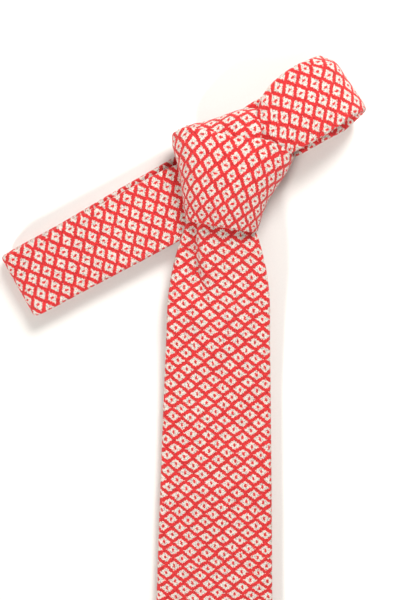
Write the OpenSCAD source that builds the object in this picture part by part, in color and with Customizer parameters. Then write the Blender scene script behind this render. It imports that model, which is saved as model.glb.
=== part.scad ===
// Slim cotton necktie, tied in a four-in-hand knot and laid flat with its neck loop pressed together.
// Millimetres. +Z up from the table, +Y from the blade's tip towards the knot.
// The origin is on the table, under the middle of the knot.

/* [Blade] */
// Distance from the knot's lower edge to the blade's tip
blade_len = 418; // [400:2:440]
// Width of the blade across its shoulders, where the point begins
blade_w = 71; // [66:1:76]
// Thickness of the folded blade
blade_t = 3.6; // [3.2:0.1:3.8]
// Distance from the knot's lower edge to the line where the blade folds over
fold_at = 229; // [200:1:260]

/* [Tail] */
// Distance from the knot's lower edge to the tail's tip
tail_len = 341; // [300:1:350]
// Width of the tail across its shoulders
tail_w = 44; // [38:1:48]
// Thickness of the folded tail
tail_t = 2.8; // [2.4:0.1:2.9]

/* [Neck loop] */
// Width of the neck band
neck_w = 35; // [32:0.5:36]
// Thickness of the folded neck band
neck_t = 3; // [2.6:0.1:3]
// Distance from the origin to the outside of the left-hand fold
left_reach = 127.5; // [110:0.5:135]
// Distance from the origin to the outside of the right-hand fold
right_reach = 67; // [64:0.5:80]
// Direction of the left-hand half of the loop
left_angle = 28.1; // [24:0.1:30]
// Direction of the right-hand half of the loop
right_angle = 35; // [33:0.5:37]

/* [Cloth] */
// Thickness of the woven cotton
cloth_t = 0.8; // [0.6:0.1:0.9]
// Pitch of the slip stitches along the back seams
stitch_pitch = 14; // [12:1:24]

/* [Hidden] */

gap = 0.3;                // clearance between pieces that move on each other
seam_gap = 1;             // the two folded edges stop this far apart at the back
thread_r = 0.25;          // slip-stitch thread
thread_sides = 16;        // flat sides round a thread
fold_sides = 96;          // and round a fold of the neck loop
ball_sides = 32;          // and round the knot's masses
stitch_over = 3;          // a slip stitch is this much longer than the seam is wide
flush = 0.05;             // room between a thread or a lining and the cloth it lies on
felt_gap = 0.1;           // room between the felt and the cloth round it
back_cut = 0.1;           // a cut through the back cloth goes this far past it
far = 400;                // longer than any piece
knot_low = -32;           // lower edge of the knot along Y
mouth_y = knot_low - 1;   // where the blade hinges at the knot
mouth_z = 13.4;           // underside of the blade at the knot's mouth
tip_y = knot_low - blade_len;
fold_y = knot_low - fold_at;
blade_z = 4.2;            // underside of the blade where it lies over the tail
tail_z = 6.2;             // underside of the tail inside the knot
tail_tip_y = knot_low - tail_len;
tail_top_y = 16;          // the tail's covered end inside the knot
shoulder_y = tip_y + blade_w / 2 + 2;
clear_y = tail_tip_y - 46; // below this the blade is past the tail, and comes down to the table
tail_shoulder_y = tail_tip_y + tail_w / 2 + 1;
keeper_y = knot_low - 206; // middle of the keeper loop on the blade's back
left_start = 34.6;        // where the left half of the loop hinges
left_shift = -3.2;        // sideways offset of the left band's middle from the origin
left_r = 6.45;            // outside radius of the left-hand fold
right_shift = 3;
right_start = 25;         // covered end of the right half's lower layer
right_inner = 22;         // covered end of the right half's upper layer
right_r = 12;             // outside radius of the right-hand fold
right_mouth_w = 28;       // the right band is gathered where it leaves the knot
right_fold_w = 40;
centre_angle = 29.4;      // direction of the layer that passes under the knot
centre_inner = 8;         // the centre layer stops here, so that the right half has room to draw in
wrap_t = 2.8;             // thickness of the pass across the knot's front
under_t = 2.4;            // thickness of the knot's flat underside
table_gap = 3.4;          // height of the knot's underside over the table
split_z = 15;             // the front and back wraps meet at this height
felt_from_z = 24;         // the knot's felt covers only its crown
knot_felt_t = 1.6;
way_z = 5.9;              // underside of the way that blade and tail take through the knot
way_h = 11.7;
tail_way_h = 3.4;
way_low_y = -40;          // the ways start below the knot
band_room = 0.8;          // added to a neck band's thickness for its way into the knot
pass_x = -3.5;            // middle of the blade's way through the knot
pass_w = 15;
pass_t = 2.6;
keeper_w = 44;
keeper_h = 14;
keeper_drop = 1;          // underside of the keeper loop below the blade
keeper_t = 0.5;
keeper_end = 2;           // width of the part that is caught down at each end
tape_t = 0.4;             // thickness of the label tape
label_w = 34;
label_h = 52;
label_y = -172;
care_w = 16;
care_h = 24;
care_shift = 3;           // the care label sits this far to the right of the seam
tack_r = 0.4;
tail_tack_len = 4;
tail_tack_r = 0.35;
blade_tack_y = shoulder_y + 12;
tail_tack_y = tail_shoulder_y + 10;
tack_len = 8;             // length of the blade's bar tack

cotton = [0.86, 0.25, 0.24];
cotton_dark = [0.78, 0.20, 0.20];
felt = [0.93, 0.91, 0.86];
lining = [0.90, 0.86, 0.80];
thread = [0.96, 0.92, 0.88];

// ---------- strips that run down from the knot ----------

// Middle of the blade at a given height on the table plane
function axis_x(y) = -4.4 + 0.0115 * y;

function blade_half(y) = lookup(y, [
    [tip_y, 0], [shoulder_y, blade_w / 2],
    [-233, 31.4], [-121, 28.4], [-66, 26.3], [-48, 21.8], [-36, 16], [0, 13]
]);

function tail_half(y) = lookup(y, [
    [tail_tip_y, 0], [tail_shoulder_y, tail_w / 2], [-80, 18], [knot_low, 13], [tail_top_y, 13]
]);

// Underside of the blade: it slopes down off the knot, lies over the tail, then its point meets the table
function blade_under(y) = lookup(y, [
    [tip_y, 0.3], [clear_y, blade_z], [-121, blade_z], [-71, 9.9], [mouth_y - gap, mouth_z]
]);

function tail_under(y) = lookup(y, [[tail_tip_y, 0], [-80, 0], [knot_low, tail_z], [tail_top_y, tail_z]]);

function reversed(list) = [for (k = [len(list) - 1:-1:0]) list[k]];

blade_stations = [mouth_y - gap, -48, -66, -71, -121, -233, shoulder_y, clear_y, tip_y];
tail_stations = [tail_top_y, knot_low, -80, tail_shoulder_y, tail_tip_y];

// Outline on the table plane, drawn in by inset on every side
module blade_outline(inset) {
    polygon(concat(
        [for (y = blade_stations) [axis_x(y) - max(blade_half(y) - inset, 0), max(y, tip_y + 1.4 * inset)]],
        reversed([for (y = blade_stations) if (y > tip_y) [axis_x(y) + max(blade_half(y) - inset, 0), y]])
    ));
}

module tail_outline(inset) {
    lowest_y = tail_tip_y + 1.4 * inset;
    polygon(concat(
        [for (y = tail_stations) [axis_x(y) - max(tail_half(y) - inset, 0), max(y, lowest_y)]],
        reversed([for (y = tail_stations) if (y > tail_tip_y) [axis_x(y) + max(tail_half(y) - inset, 0), y]])
    ));
}

// Side view of the blade, pushed out across its width
module blade_side(inset) {
    low = [for (y = blade_stations) [y, blade_under(y) + inset]];
    high = [for (y = blade_stations) [y, blade_under(y) + blade_t - inset]];
    rotate([90, 0, 90]) linear_extrude(height = far, center = true) polygon(concat(low, reversed(high)));
}

module tail_side(inset) {
    low = [for (y = tail_stations) [y, tail_under(y) + inset]];
    high = [for (y = tail_stations) [y, tail_under(y) + tail_t - inset]];
    rotate([90, 0, 90]) linear_extrude(height = far, center = true) polygon(concat(low, reversed(high)));
}

module blade_solid(inset) {
    intersection() {
        linear_extrude(height = far) blade_outline(inset);
        blade_side(inset);
    }
}

module tail_solid(inset) {
    intersection() {
        linear_extrude(height = far) tail_outline(inset);
        tail_side(inset);
    }
}

// Everything between two heights along the strip
module between_y(low, high) {
    translate([-far / 2, low, -far / 2]) cube([far, high - low, far]);
}

// Plan of the slot between the two folded edges, along the strip's middle
module seam_plan(low, high) {
    polygon([
        [axis_x(low) - seam_gap / 2, low], [axis_x(low) + seam_gap / 2, low],
        [axis_x(high) + seam_gap / 2, high], [axis_x(high) - seam_gap / 2, high]
    ]);
}

// Plan of the V below the bar tack, where the back flaps stand apart
module flap_plan(half, y_tack, y_tip) {
    x_tack = axis_x(y_tack);
    x_tip = axis_x(y_tip);
    flap_y = y_tip + half + 4;
    polygon([
        [x_tack - seam_gap / 2, y_tack + 1], [x_tip - half, flap_y], [x_tip, y_tip + 7],
        [x_tip + half, flap_y], [x_tack + seam_gap / 2, y_tack + 1]
    ]);
}

// The lower part of a strip that lies within its back cloth
module blade_back_only() translate([0, 0, cloth_t + back_cut - blade_t]) blade_side(0);
module tail_back_only() translate([0, 0, cloth_t + back_cut - tail_t]) tail_side(0);

// Short threads across a back seam
module stitches(y_from, y_to, z) {
    for (y = [y_from:-stitch_pitch:y_to])
        translate([axis_x(y), y, z]) rotate([0, 90, 0])
            cylinder(r = thread_r, h = seam_gap + stitch_over, center = true, $fn = thread_sides);
}

// The slot between the blade's folded edges, cut through the back cloth only
module blade_seam(low, high) {
    intersection() {
        linear_extrude(height = far) seam_plan(low, high);
        blade_back_only();
    }
}

// ---------- blade, from the knot to its fold line ----------

module blade_upper_shell() {
    color(cotton) difference() {
        intersection() {
            blade_solid(0);
            between_y(fold_y + gap / 2, 0);
        }
        intersection() {
            blade_solid(cloth_t);
            between_y(fold_y - 1, mouth_y - cloth_t - gap);
        }
        blade_seam(fold_y - 1, mouth_y - 3);
    }
}

module blade_upper_interlining() {
    color(felt) intersection() {
        blade_solid(cloth_t + felt_gap);
        between_y(fold_y + gap / 2, mouth_y - 2);
    }
}

module blade_upper_slip_stitch() {
    color(thread) stitches(-130, keeper_y + 12, blade_z - thread_r - flush);
}

// Self-cloth band across the back of the blade, caught down at both ends
module keeper_loop() {
    color(cotton_dark) translate([axis_x(keeper_y), keeper_y - keeper_h / 2, blade_z - keeper_drop]) {
        translate([-keeper_w / 2, 0, 0]) cube([keeper_w, keeper_h, keeper_t]);
        for (x = [-keeper_w / 2, keeper_w / 2 - keeper_end])
            translate([x, 0, 0]) cube([keeper_end, keeper_h, keeper_drop]);
    }
}

// Plain woven label between the knot and the keeper, over the slip stitches
module blank_label() {
    color(lining) translate([axis_x(label_y) - label_w / 2, label_y - label_h / 2, blade_z - 1])
        cube([label_w, label_h, tape_t]);
}

// ---------- blade, from its fold line to the point ----------

module blade_lower_shell() {
    color(cotton) difference() {
        intersection() {
            blade_solid(0);
            between_y(tip_y - 1, fold_y - gap / 2);
        }
        intersection() {
            blade_solid(cloth_t);
            between_y(tip_y - 1, fold_y + 1);
        }
        blade_seam(blade_tack_y, fold_y + 1);
        intersection() {
            linear_extrude(height = far) flap_plan(blade_w / 2 - 9, blade_tack_y, tip_y);
            blade_back_only();
        }
    }
}

module blade_lower_interlining() {
    color(felt) intersection() {
        translate([0, 0, 0.35]) blade_solid(cloth_t + 0.35);
        between_y(tip_y + 10, fold_y - gap / 2);
    }
}

// Pale lining that shows inside the V at the back of the point
module blade_tip_lining() {
    color(lining) intersection() {
        blade_solid(cloth_t + flush);
        translate([0, 0, 0.3]) blade_back_only();
        between_y(tip_y, shoulder_y + 10);
    }
}

module blade_lower_slip_stitch() {
    color(thread) stitches(fold_y - 10, blade_tack_y + 8, blade_z - thread_r - flush);
}

module blade_bar_tack() {
    color(cotton_dark) translate([axis_x(blade_tack_y), blade_tack_y, blade_under(blade_tack_y) - 0.45])
        rotate([0, 90, 0]) cylinder(r = tack_r, h = tack_len, center = true, $fn = thread_sides);
}

module care_label() {
    color(lining) translate([axis_x(blade_tack_y) + care_shift, blade_tack_y + 8, blade_z - tape_t - flush])
        cube([care_w, care_h, tape_t]);
}

// ---------- tail ----------

module tail_shell() {
    color(cotton_dark) difference() {
        tail_solid(0);
        intersection() {
            tail_solid(cloth_t);
            between_y(tail_tip_y, tail_top_y - cloth_t);
        }
        intersection() {
            translate([0, 0, -1]) linear_extrude(height = far) {
                seam_plan(tail_tack_y, -90);
                flap_plan(tail_w / 2 - 7, tail_tack_y, tail_tip_y);
            }
            tail_back_only();
        }
    }
}

module tail_interlining() {
    color(felt) intersection() {
        translate([0, 0, 0.2]) tail_solid(cloth_t + 0.2);
        between_y(tail_tip_y + 8, tail_top_y - 1);
    }
}

// The threads lie in the seam, flush with the cloth that rests on the table
module tail_slip_stitch() {
    color(thread) for (y = [-104:-stitch_pitch:tail_tack_y + 8])
        translate([axis_x(y), y, thread_r + flush]) rotate([0, 90, 0])
            cylinder(r = thread_r, h = seam_gap - 2 * flush, center = true, $fn = thread_sides);
}

module tail_tip_lining() {
    color(lining) intersection() {
        tail_solid(cloth_t + flush);
        translate([0, 0, 0.15]) tail_back_only();
        between_y(tail_tip_y, tail_shoulder_y + 8);
    }
}

module tail_bar_tack() {
    color(cotton_dark) translate([axis_x(tail_tack_y), tail_tack_y - 3, 0.4]) rotate([90, 0, 0])
        cylinder(r = tail_tack_r, h = tail_tack_len, center = true, $fn = thread_sides);
}

// ---------- neck loop ----------

// Side view of half a loop: two layers joined by a round fold. X runs outwards, Y is height.
module loop_side(reach, r, t, upper_from, lower_from, inset) {
    fold_x = reach - r;
    difference() {
        union() {
            translate([fold_x, r]) circle(r = r - inset, $fn = fold_sides);
            translate([upper_from, 2 * r - t + inset]) square([fold_x - upper_from, t - 2 * inset]);
            translate([lower_from, inset]) square([fold_x - lower_from, t - 2 * inset]);
        }
        translate([fold_x, r]) circle(r = r - t + inset, $fn = fold_sides);
        translate([fold_x - 2 * r, t - inset]) square([2 * r, 2 * (r - t + inset)]);
    }
}

module stand_up(width) {
    rotate([90, 0, 0]) linear_extrude(height = width, center = true) children();
}

// The band's own direction: its X runs outwards along the band
module along_left() rotate([0, 0, 180 + left_angle]) translate([0, -left_shift, 0]) children();
module along_right() rotate([0, 0, right_angle]) translate([0, right_shift, 0]) children();

module left_loop(inset) {
    stand_up(neck_w - 2 * inset)
        loop_side(left_reach, left_r, neck_t, left_start + gap, left_start + gap, inset);
}

module neck_left_shell() {
    color(cotton) along_left() difference() {
        left_loop(0);
        left_loop(cloth_t);
        stand_up(seam_gap)
            loop_side(left_reach - cloth_t, left_r - cloth_t, neck_t, left_start, left_start, -0.01);
    }
}

module neck_left_interlining() {
    color(felt) along_left() left_loop(cloth_t + felt_gap);
}

module neck_left_slip_stitch() {
    color(thread) along_left() for (x = [left_start + 10:stitch_pitch:left_reach - left_r - 6])
        for (z = [neck_t + thread_r + flush, 2 * left_r - neck_t - thread_r - flush])
            translate([x, 0, z]) rotate([90, 0, 0])
                cylinder(r = thread_r, h = seam_gap + stitch_over, center = true, $fn = thread_sides);
}

// The right half flares from its gathered end at the knot to the fold
module right_plan(inset) {
    flare = [
        [right_inner, right_mouth_w], [30, right_mouth_w],
        [right_reach - right_r, right_fold_w], [right_reach, right_fold_w]
    ];
    linear_extrude(height = far) polygon(concat(
        [for (p = flare) [p[0], p[1] / 2 - inset]],
        reversed([for (p = flare) [p[0], inset - p[1] / 2]])
    ));
}

module right_loop(inset) {
    intersection() {
        right_plan(inset);
        stand_up(far) loop_side(right_reach, right_r, neck_t, right_inner, right_start, inset);
    }
}

module neck_right_shell() {
    color(cotton) along_right() difference() {
        right_loop(0);
        right_loop(cloth_t);
        stand_up(seam_gap)
            loop_side(right_reach - cloth_t, right_r - cloth_t, neck_t, right_inner, right_inner, -0.01);
    }
}

module neck_right_interlining() {
    color(felt) along_right() right_loop(cloth_t + felt_gap);
}

// They stay clear of the knot when the right half draws in
module neck_right_slip_stitch() {
    color(thread) along_right() for (x = [right_start + 23:stitch_pitch / 2:right_reach - right_r])
        for (z = [neck_t + thread_r + flush, 2 * right_r - neck_t - thread_r - flush])
            translate([x, 0, z]) rotate([90, 0, 0])
                cylinder(r = thread_r, h = seam_gap + stitch_over, center = true, $fn = thread_sides);
}

module centre_layer(inset) {
    rotate([0, 0, centre_angle]) translate([gap + inset - left_start, 1 + inset - neck_w / 2, inset])
        cube([left_start + centre_inner - gap - 2 * inset, neck_w - 2 * inset, neck_t - 2 * inset]);
}

module neck_centre_shell() {
    color(cotton) difference() {
        centre_layer(0);
        centre_layer(cloth_t);
    }
}

module neck_centre_interlining() {
    color(felt) centre_layer(cloth_t + felt_gap);
}

// ---------- knot ----------

// Rounded mass of the two passes across the front and back, drawn in by inset
module wrap_mass(inset) {
    hull() {
        translate([-14, 4, 17]) sphere(r = 14 - inset, $fn = ball_sides);
        translate([16.5, -5, 18]) sphere(r = 15 - inset, $fn = ball_sides);
        translate([-7.5, -19, 14.9]) sphere(r = 11.5 - inset, $fn = ball_sides);
        translate([2, -20, 14.9]) sphere(r = 11.5 - inset, $fn = ball_sides);
    }
}

// Rounded mass of the last pass, over the top of the loop
module top_mass(inset) {
    hull() {
        translate([-12.5, 9.5, 17.5]) sphere(r = 13 - inset, $fn = ball_sides);
        translate([3.5, 15.5, 18.5]) sphere(r = 13.5 - inset, $fn = ball_sides);
        translate([16, 8, 18.5]) sphere(r = 13.5 - inset, $fn = ball_sides);
    }
}

module above(z) translate([-far / 2, -far / 2, z]) cube(far);

// Ways for the strips that go in and out of the knot
module channels() {
    // blade and tail, out of the bottom
    translate([-21, way_low_y, way_z]) cube([36, 20, way_h]);
    // tail, all the way up
    translate([-18.5, way_low_y, way_z]) cube([29, 57.5, tail_way_h]);
    // left half of the neck loop
    along_left() translate([6, -neck_w / 2 - 0.6, 2 * left_r - neck_t - 0.5])
        cube([34, neck_w + 1.2, neck_t + band_room]);
    // right half of the neck loop, with room to draw in
    along_right() translate([5, -neck_w / 2 - 1, 2 * right_r - neck_t - 0.4])
        cube([46, neck_w + 2, neck_t + band_room]);
}

module wrap_shell(inset, t) {
    difference() {
        intersection() {
            wrap_mass(inset);
            above(table_gap + inset);
        }
        intersection() {
            wrap_mass(inset + t);
            above(table_gap + inset + under_t);
        }
        top_mass(wrap_t);
        channels();
    }
}

module knot_front_wrap() {
    color(cotton) intersection() {
        wrap_shell(0, wrap_t);
        above(split_z);
    }
}

module knot_back_wrap() {
    color(cotton_dark) difference() {
        wrap_shell(0, wrap_t);
        above(split_z - 0.05);
    }
}

module knot_front_interlining() {
    color(felt) difference() {
        intersection() {
            wrap_shell(wrap_t + felt_gap, knot_felt_t);
            above(felt_from_z);
        }
        translate([pass_x - pass_w / 2 - gap, -26, 0]) cube([pass_w + 2 * gap, 39, 27.7]);
    }
}

module knot_top_pass() {
    color(cotton) difference() {
        intersection() {
            top_mass(0);
            above(table_gap);
        }
        top_mass(wrap_t);
        wrap_mass(-0.1);
        channels();
    }
}

// First crossing: the left half's upper layer runs in over the tail
module knot_first_turn() {
    end = [left_start - 2, neck_w / 2 - 3];
    color(cotton_dark) along_left() translate([0, 0, 2 * left_r - neck_t - 0.2])
        linear_extrude(height = neck_t)
            polygon([[-8, -11], [-8, 11], [12, 12], end, [end[0], -end[1]], [12, -12]]);
}

// Side view of a knot strip that runs between two points, pushed out to a width
module sloping_strip(from, to, t, width) {
    rotate([90, 0, 90]) linear_extrude(height = width, center = true)
        polygon([from, to, to + [0, t], from + [0, t]]);
}

// The blade's way up between the knot and the neck loop
module knot_up_pass() {
    color(cotton_dark) translate([-3, 0, 0]) sloping_strip([-11, 13.3], [18, 16.8], 3.2, 22);
}

// The blade's way down, under the front wrap to the mouth
module knot_blade_pass() {
    color(cotton_dark) translate([pass_x, 0, 0]) {
        sloping_strip([-3, 24.7], [12, 24.8], pass_t, pass_w);
        sloping_strip([-26, 14.4], [-3, 24.7], pass_t, pass_w);
        sloping_strip([mouth_y + gap, 13.8], [-26, 14.4], pass_t, pass_w);
    }
}

knot_front_wrap();
knot_front_interlining();
knot_back_wrap();
knot_first_turn();
knot_up_pass();
knot_top_pass();
knot_blade_pass();
neck_centre_shell();
neck_centre_interlining();
neck_left_shell();
neck_left_interlining();
neck_left_slip_stitch();
neck_right_shell();
neck_right_interlining();
neck_right_slip_stitch();
blade_upper_shell();
blade_upper_interlining();
blade_upper_slip_stitch();
keeper_loop();
blank_label();
blade_lower_shell();
blade_lower_interlining();
blade_lower_slip_stitch();
blade_tip_lining();
blade_bar_tack();
care_label();
tail_shell();
tail_interlining();
tail_slip_stitch();
tail_tip_lining();
tail_bar_tack();
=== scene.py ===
"""A slim cotton necktie in a four-in-hand knot, laid flat: the looks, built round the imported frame.

Lengths of the tie's pieces are in millimetres, and make_mesh() turns them into metres. Materials, lights
and the camera are in metres.
"""
import math

import bmesh
import bpy
import numpy as np
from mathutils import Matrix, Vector


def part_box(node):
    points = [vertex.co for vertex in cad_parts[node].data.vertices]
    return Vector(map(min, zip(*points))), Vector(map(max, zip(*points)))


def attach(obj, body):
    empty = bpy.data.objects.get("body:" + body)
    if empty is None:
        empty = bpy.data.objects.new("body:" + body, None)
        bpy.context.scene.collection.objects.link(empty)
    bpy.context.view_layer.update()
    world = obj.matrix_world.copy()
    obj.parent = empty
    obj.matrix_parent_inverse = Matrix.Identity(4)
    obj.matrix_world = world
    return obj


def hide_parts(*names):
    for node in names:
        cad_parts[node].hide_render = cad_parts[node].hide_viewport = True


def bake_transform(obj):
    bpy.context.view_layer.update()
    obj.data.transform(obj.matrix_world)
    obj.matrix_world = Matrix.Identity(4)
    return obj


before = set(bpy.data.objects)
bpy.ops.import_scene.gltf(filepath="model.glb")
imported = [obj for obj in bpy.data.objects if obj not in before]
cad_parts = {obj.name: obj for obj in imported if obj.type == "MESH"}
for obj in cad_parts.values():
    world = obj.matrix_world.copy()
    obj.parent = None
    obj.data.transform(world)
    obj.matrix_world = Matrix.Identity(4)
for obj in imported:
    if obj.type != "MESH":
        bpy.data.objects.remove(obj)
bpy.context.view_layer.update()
MM = 0.001

# ---------------------------------------------------------------- sizes taken from the frame

X, Y, Z = 0, 1, 2


def corner(node, axis, side):
    """One coordinate of a CAD node's box, in millimetres. side 0 is the low end, 1 the high end."""
    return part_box(node)[side][axis] / MM


def extent(node, axis):
    return corner(node, axis, 1) - corner(node, axis, 0)


def midway(node, axis):
    return (corner(node, axis, 0) + corner(node, axis, 1)) / 2


TIP_Y = corner("blade_lower_shell", Y, 0)
FOLD_Y = corner("blade_lower_shell", Y, 1)
BLADE_W = extent("blade_lower_shell", X)
TAIL_TIP_Y = corner("tail_shell", Y, 0)
TAIL_TOP_Y = corner("tail_shell", Y, 1)
TAIL_W = extent("tail_shell", X)
KEEPER_Y = midway("keeper_loop", Y)
TACK_Y = midway("blade_bar_tack", Y)
TAIL_TACK_Y = midway("tail_bar_tack", Y)
SHOULDER_Y = TIP_Y + BLADE_W / 2 + 2
TAIL_SHOULDER_Y = TAIL_TIP_Y + TAIL_W / 2 + 1
SPLIT_Y = FOLD_Y + 21      # the blade's cloth is made in two lengths that meet here
CLEAR_Y = TAIL_TIP_Y - 46  # below this the blade is past the tail, and comes down to the table

# room inside each folded strip; the cloth's own thickness is added outside it
BLADE_T = 3.6
TAIL_T = 1.7
NECK_T = 3.0
KNOT_T = 3.0
BACK_WRAP_T = 1.0
INNER_T = 2.6
KEEPER_T = 0.3
CLOTH_T = 0.55

# thickness of the felt in each
BLADE_FELT_T = BLADE_T - 2 * CLOTH_T - 0.5
TIP_FELT_T = 1.3
TAIL_FELT_T = 0.7
NECK_FELT_T = NECK_T - 2 * CLOTH_T - 0.4
KNOT_FELT_T = 1.4

NECK_W = 35.3
SEAM = 0.5                # half the gap between the folded edges at a back seam
BLADE_LOW = 4.2           # underside of the blade over the tail
LEFT_ANGLE = math.radians(28.1)
RIGHT_ANGLE = math.radians(35)

# ---------------------------------------------------------------- small tools


def curve(xs, ys):
    """A smooth curve through a few points; flat past both ends."""
    xs, ys = np.array(xs, float), np.array(ys, float)
    if xs[0] > xs[-1]:
        xs, ys = xs[::-1], ys[::-1]
    chord = np.diff(ys) / np.diff(xs)
    slope = np.concatenate([[0.0], (chord[1:] + chord[:-1]) / 2, [0.0]])
    slope[1:-1][chord[1:] * chord[:-1] <= 0] = 0
    slope[0], slope[-1] = chord[0], chord[-1]

    def value(x):
        x = np.clip(np.asarray(x, float), xs[0], xs[-1])
        k = np.clip(np.searchsorted(xs, x, side="right") - 1, 0, len(xs) - 2)
        h = xs[k + 1] - xs[k]
        t = (x - xs[k]) / h
        return ((1 + 2 * t) * (1 - t) ** 2 * ys[k] + t * (1 - t) ** 2 * h * slope[k]
                + t * t * (3 - 2 * t) * ys[k + 1] + t * t * (t - 1) * h * slope[k + 1])

    return value


def smooth(x, low, high):
    t = np.clip((np.asarray(x, float) - low) / (high - low), 0, 1)
    return t * t * (3 - 2 * t)


def unit(v):
    return v / np.maximum(np.linalg.norm(v, axis=-1, keepdims=True), 1e-9)


def ripple(a, b, seed, size):
    """Gentle unevenness between -1 and 1: a few crossing waves of about the given size."""
    rng = np.random.default_rng(seed)
    total = np.zeros(np.broadcast(a, b).shape)
    waves = 6
    for _ in range(waves):
        turn, phase = rng.uniform(0, 2 * math.pi), rng.uniform(0, 2 * math.pi)
        scale = rng.uniform(0.6, 1.7)
        total += np.sin(2 * math.pi * (a * math.cos(turn) + b * math.sin(turn)) / (size * scale) + phase)
    return total / waves


def make_mesh(name, points, faces, uvs, material):
    """Points are in millimetres. uvs holds one pair for each corner of each face, in millimetres of cloth."""
    mesh = bpy.data.meshes.new(name)
    mesh.from_pydata((np.asarray(points) * MM).tolist(), [], faces)
    if uvs is not None:
        layer = mesh.uv_layers.new(name="cloth")
        layer.data.foreach_set("uv", (np.asarray(uvs) * MM).astype(np.float32).ravel())
    mesh.materials.append(material)
    mesh.polygons.foreach_set("use_smooth", [True] * len(mesh.polygons))
    mesh.update()
    piece = bpy.data.objects.new(name, mesh)
    bpy.context.scene.collection.objects.link(piece)
    return piece


def grid_piece(name, grid, uv, material, ring=False):
    """A sheet of quads from a grid of points; ring joins the last column to the first."""
    rows, cols = grid.shape[:2]
    faces, corners = [], []
    for i in range(rows - 1):
        for j in range(cols if ring else cols - 1):
            k = (j + 1) % cols
            faces.append([i * cols + j, i * cols + k, (i + 1) * cols + k, (i + 1) * cols + j])
            corners += [uv[i, j], uv[i, j + 1], uv[i + 1, j + 1], uv[i + 1, j]]
    return make_mesh(name, grid.reshape(-1, 3), faces, corners, material)


def thicken(piece, thickness):
    """Gives a sheet its cloth thickness. A folded strip's is added outside the surface it was drawn on."""
    solid = piece.modifiers.new("cloth", "SOLIDIFY")
    solid.thickness = thickness * MM
    solid.offset = -1
    bpy.context.view_layer.update()
    graph = bpy.context.evaluated_depsgraph_get()
    shown = piece.evaluated_get(graph)
    mesh = bpy.data.meshes.new_from_object(shown, preserve_all_data_layers=True, depsgraph=graph)
    piece.modifiers.clear()
    piece.data = mesh
    return piece


# ---------------------------------------------------------------- folded strips

NUDGE = 0.02              # a small step across a strip, as a share of its half width, for its tangents
EASE = 0.9                # how closely the columns of a strip's front crowd together at its two edges
BEND_POINTS = 9           # points round a folded edge
FLAP_POINTS = 12          # and across each back flap


def layers(surface, v):
    """Points and outward normals of a surface at the across values v, which run from -1 to 1."""
    points = surface(v)
    across = surface(v + NUDGE) - surface(v - NUDGE)
    along = np.gradient(points, axis=0)
    return points, unit(np.cross(across, along))


def laid(uv, degrees, scale, skew):
    """The pattern's coordinates: turned on the cloth, scaled both ways, and skewed as bias cloth gives."""
    c, k = math.cos(math.radians(degrees)), math.sin(math.radians(degrees))
    along = uv[..., 0] * c - uv[..., 1] * k
    across = uv[..., 0] * k + uv[..., 1] * c
    return np.stack([(along + skew * across) / scale[0], across / scale[1]], axis=2)


def folded_strip(name, surface, half, t, seam, front=44, out=1, uv_of=None,
                 turn=0.0, scale=(1.0, 1.0), skew=0.0):
    """Cloth folded to a flat tube round surface(v), open at its back seam.

    half, t and seam give, row by row, half the width, the room inside and how far each folded edge stops
    from the middle of the back. front is the number of columns across the front, and out is 1 or -1: the
    side that faces outwards. uv_of replaces the cloth's coordinates; turn, scale and skew lay the pattern.
    """
    rows = len(half)
    half, t, seam = (np.broadcast_to(np.asarray(a, float), (rows,)) for a in (half, t, seam))
    inset = np.clip(1 - (t / 2) / np.maximum(half, t), 0.5, 1)[:, None]
    ease = np.sin(np.linspace(-1, 1, front) * math.pi / 2 * EASE) / math.sin(math.pi / 2 * EASE)
    v_front = ease[None, :] * inset
    face, normal = layers(surface, v_front)
    normal = normal * out
    columns = [face + normal * t[:, None, None] / 2]
    turns = np.linspace(0, math.pi, BEND_POINTS)[1:]
    back = np.linspace(0, 1, FLAP_POINTS)[1:]
    for side in (-1, 1):
        edge = 0 if side < 0 else -1
        centre, n = face[:, edge], normal[:, edge]
        outwards = unit(surface(side * np.minimum(inset + 0.01, 1)) - surface(side * (inset - 0.01)))[:, 0]
        arc = [centre + (n * math.cos(a) + outwards * math.sin(a)) * t[:, None] / 2 for a in turns]
        cap = np.stack(arc, axis=1)
        stop = np.minimum(seam[:, None] / np.maximum(half, 1e-3)[:, None], inset)
        under, n_back = layers(surface, side * (inset + (stop - inset) * back[None, :]))
        flap = under - n_back * out * t[:, None, None] / 2
        wing = np.concatenate([cap, flap], axis=1)
        columns = [wing[:, ::-1]] + columns if side < 0 else columns + [wing]
    grid = np.concatenate(columns, axis=1)
    middle = columns[0].shape[1] + front // 2
    steps = np.linalg.norm(np.diff(grid, axis=1), axis=2)
    lengths = np.concatenate([np.zeros((rows, 1)), np.cumsum(steps, axis=1)], axis=1)
    spine = np.linalg.norm(np.diff(grid[:, middle], axis=0), axis=1)
    run = np.concatenate([[0], np.cumsum(spine)])
    along = np.broadcast_to(run[:, None], lengths.shape)
    uv = np.stack([along, lengths - lengths[:, middle:middle + 1]], axis=2)
    if uv_of is not None:
        uv = uv_of(grid, uv)
    uv = laid(uv, turn, scale, skew)
    if out > 0:
        grid, uv = grid[:, ::-1], uv[:, ::-1]
    piece = thicken(grid_piece(name, grid, uv, COTTON), CLOTH_T)
    return piece


def declare_cut(path, half, seam):
    """Broadcasts a folded strip's half widths and seam gaps to the length of its path; nothing is kept."""
    half, seam = np.broadcast_to(half, (len(path),)), np.broadcast_to(seam, (len(path),))


def close_ends(piece):
    work = bmesh.new()
    work.from_mesh(piece.data)
    bmesh.ops.holes_fill(work, edges=[e for e in work.edges if e.is_boundary], sides=0)
    bmesh.ops.recalc_face_normals(work, faces=work.faces)
    work.to_mesh(piece.data)
    work.free()


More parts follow.
